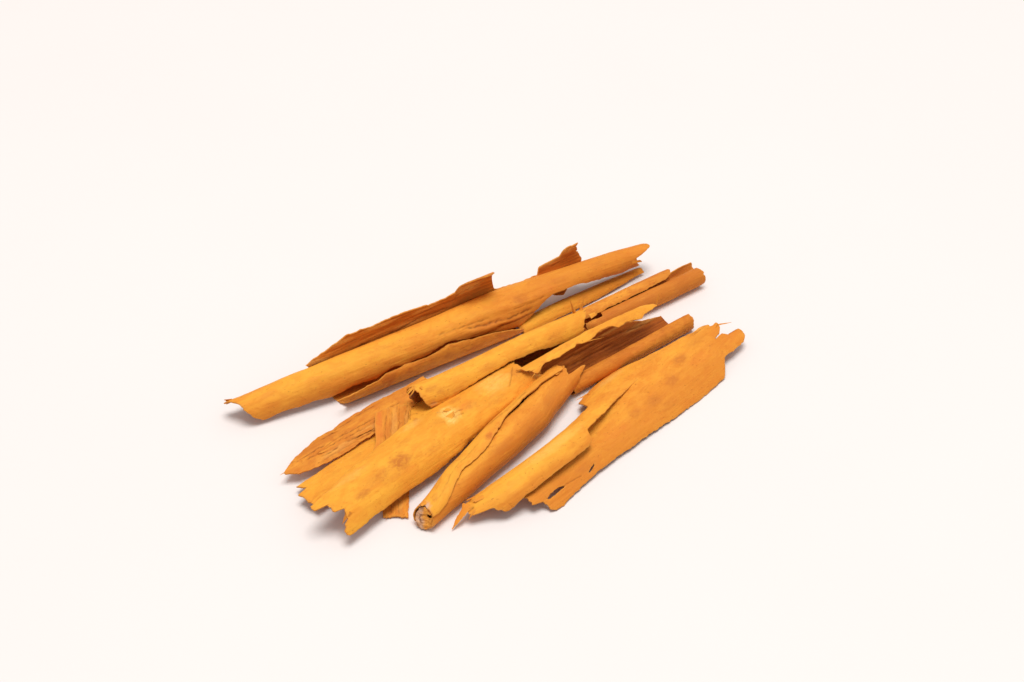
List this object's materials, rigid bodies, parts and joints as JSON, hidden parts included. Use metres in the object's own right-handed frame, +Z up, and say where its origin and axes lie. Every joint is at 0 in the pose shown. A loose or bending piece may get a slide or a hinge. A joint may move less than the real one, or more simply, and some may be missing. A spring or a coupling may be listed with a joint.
{
  "type": "stack of cinnamon sticks",
  "caption": "Low pile of dry cinnamon bark: long half-rolled quills, rolled scrolls, torn sheets and thin strips lying across each other",
  "frame": {"origin": "On the table, under the middle of the pile's bounding box", "axes": "+X runs along the sticks, +Y to the back of the pile where the longest stick lies in its gutter, +Z up"},
  "size_m": [0.1322, 0.0768, 0.0161],
  "materials": {
    "golden_bark": "dry matt inner bark, light golden brown with brown mottling and fine fibres",
    "tawny_bark": "dry matt bark, tawny brown with fine fibres",
    "russet_bark": "dry matt bark, reddish brown with fine fibres"
  },
  "bodies": {
    "root": {"long_inner_quill": "golden_bark", "outer_gutter": "tawny_bark", "slim_half_quill": "golden_bark", "middle_half_quill": "golden_bark", "back_scroll_quill": "tawny_bark", "wavy_strip": "golden_bark", "open_trough_quill": "russet_bark", "broad_front_quill": "golden_bark", "broad_under_sheet": "golden_bark", "flat_fibrous_sheet": "tawny_bark", "cross_strip": "tawny_bark", "tapered_roll_quill": "russet_bark", "torn_broad_quill": "golden_bark"}
  },
  "joints": []
}
